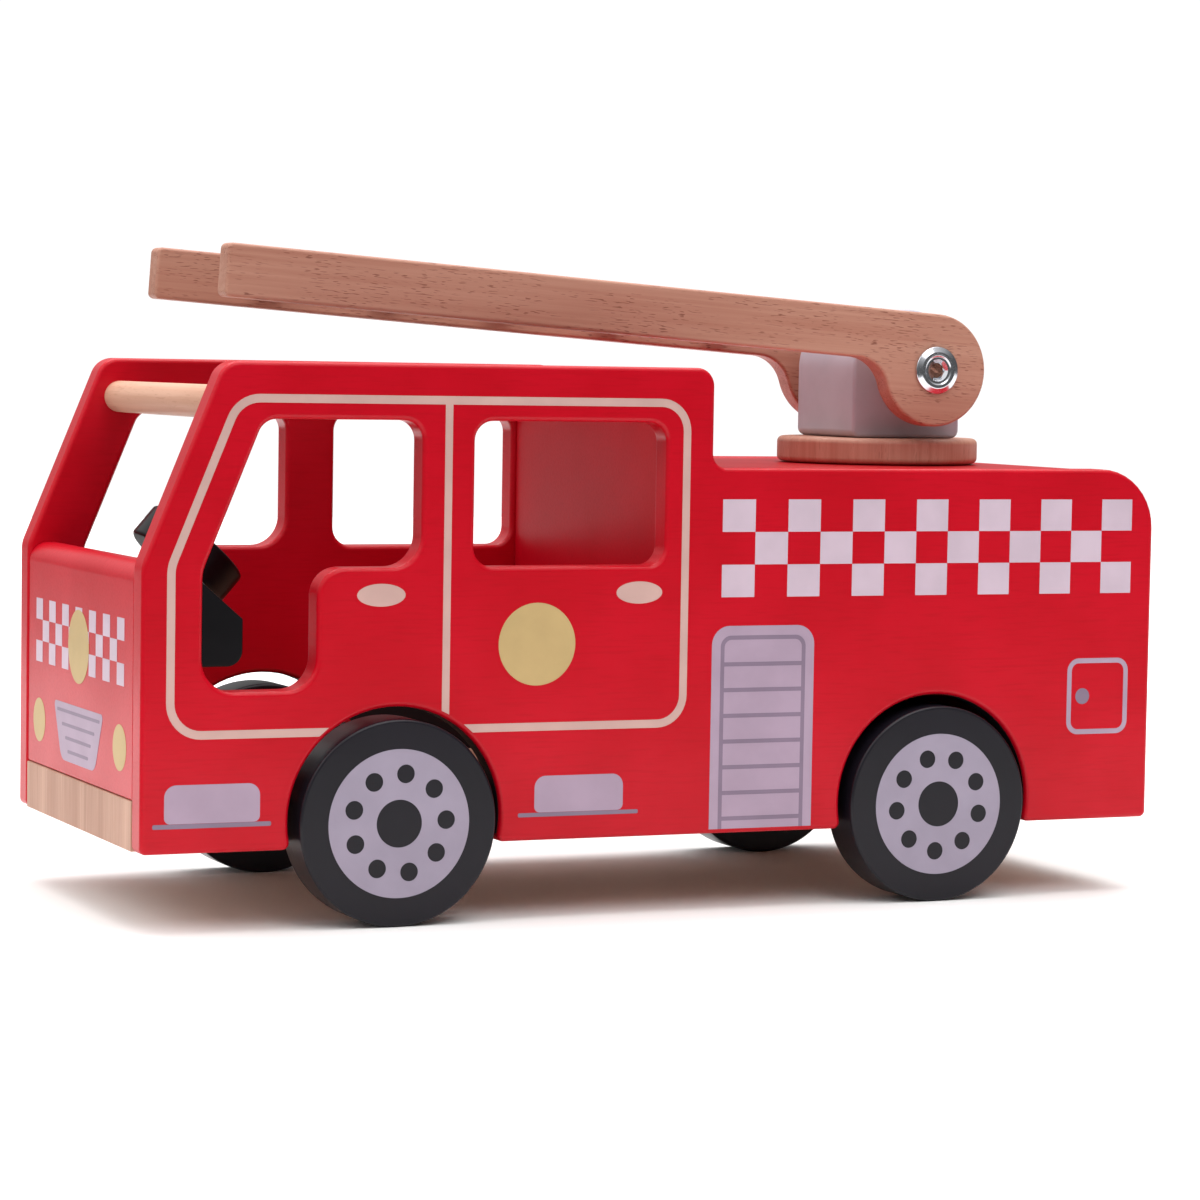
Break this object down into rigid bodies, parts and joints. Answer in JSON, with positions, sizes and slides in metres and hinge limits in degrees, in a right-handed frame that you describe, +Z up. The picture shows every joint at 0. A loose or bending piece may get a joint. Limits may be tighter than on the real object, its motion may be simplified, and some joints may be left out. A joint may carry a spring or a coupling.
{
  "type": "toy fire engine",
  "caption": "Wooden toy fire engine with an open cab, rolling wheels and a ladder that swings on a turntable and lifts about a bolt.",
  "frame": {"origin": "on the ground, below the middle of the body's length and width", "axes": "+X along the body towards its tail, so the front faces -X; +Y to the vehicle's right; +Z up from the ground"},
  "size_m": [0.2844, 0.118, 0.1696],
  "materials": {
    "red_lacquer": "semi-gloss red lacquer with printed cream, black and white decoration",
    "beech": "satin clear-coated beech",
    "pale_wood": "satin clear-coated pale wood",
    "black_lacquer": "gloss black lacquer",
    "lilac_lacquer": "satin pale lilac-grey lacquer",
    "polished_steel": "polished plating",
    "plain_steel": "bright zinc",
    "nylon": "natural nylon"
  },
  "bodies": {
    "body": {"left_side_board": "red_lacquer", "right_side_board": "red_lacquer", "grab_bar": "pale_wood", "base_board": "pale_wood", "front_board": "red_lacquer", "cab_bulkhead": "red_lacquer", "tail_board": "red_lacquer", "deck_board": "red_lacquer", "dashboard": "black_lacquer", "front_left_bush": "nylon", "front_right_bush": "nylon", "rear_left_bush": "nylon", "rear_right_bush": "nylon"},
    "front_wheelset": {"front_axle": "plain_steel", "front_left_wheel": "black_lacquer", "front_right_wheel": "black_lacquer"},
    "rear_wheelset": {"rear_axle": "plain_steel", "rear_left_wheel": "black_lacquer", "rear_right_wheel": "black_lacquer"},
    "steering": {"steering_peg": "black_lacquer", "steering_wheel": "black_lacquer"},
    "turntable": {"turntable_disc": "beech", "ladder_post": "lilac_lacquer", "post_insert": "plain_steel", "turntable_washer": "plain_steel", "turntable_bolt": "plain_steel"},
    "ladder": {"left_ladder_arm": "beech", "right_ladder_arm": "beech", "rung_1": "beech", "rung_2": "beech", "rung_3": "beech", "rung_4": "beech", "rung_5": "beech", "pivot_sleeve_nut": "polished_steel", "pivot_bolt": "polished_steel", "left_spacer": "beech", "right_spacer": "beech"}
  },
  "joints": [
    {"name": "front_wheels_roll", "type": "hinge", "parent": "body", "child": "front_wheelset", "pos_m": [-0.0762, 0, 0.026], "axis": [0, 1, 0], "continuous": true},
    {"name": "rear_wheels_roll", "type": "hinge", "parent": "body", "child": "rear_wheelset", "pos_m": [0.0762, 0, 0.026], "axis": [0, 1, 0], "continuous": true},
    {"name": "steering_turn", "type": "hinge", "parent": "body", "child": "steering", "pos_m": [-0.12016, 0, 0.08214], "axis": [0.6561, 0, 0.7547], "continuous": true},
    {"name": "turntable_turn", "type": "hinge", "parent": "body", "child": "turntable", "pos_m": [0.0868, 0, 0.1148], "axis": [0, 0, 1], "continuous": true},
    {"name": "ladder_lift", "type": "hinge", "parent": "turntable", "child": "ladder", "pos_m": [0.0868, 0, 0.1406], "axis": [0, 1, 0], "range_deg": [-3.95, 86.05]}
  ]
}
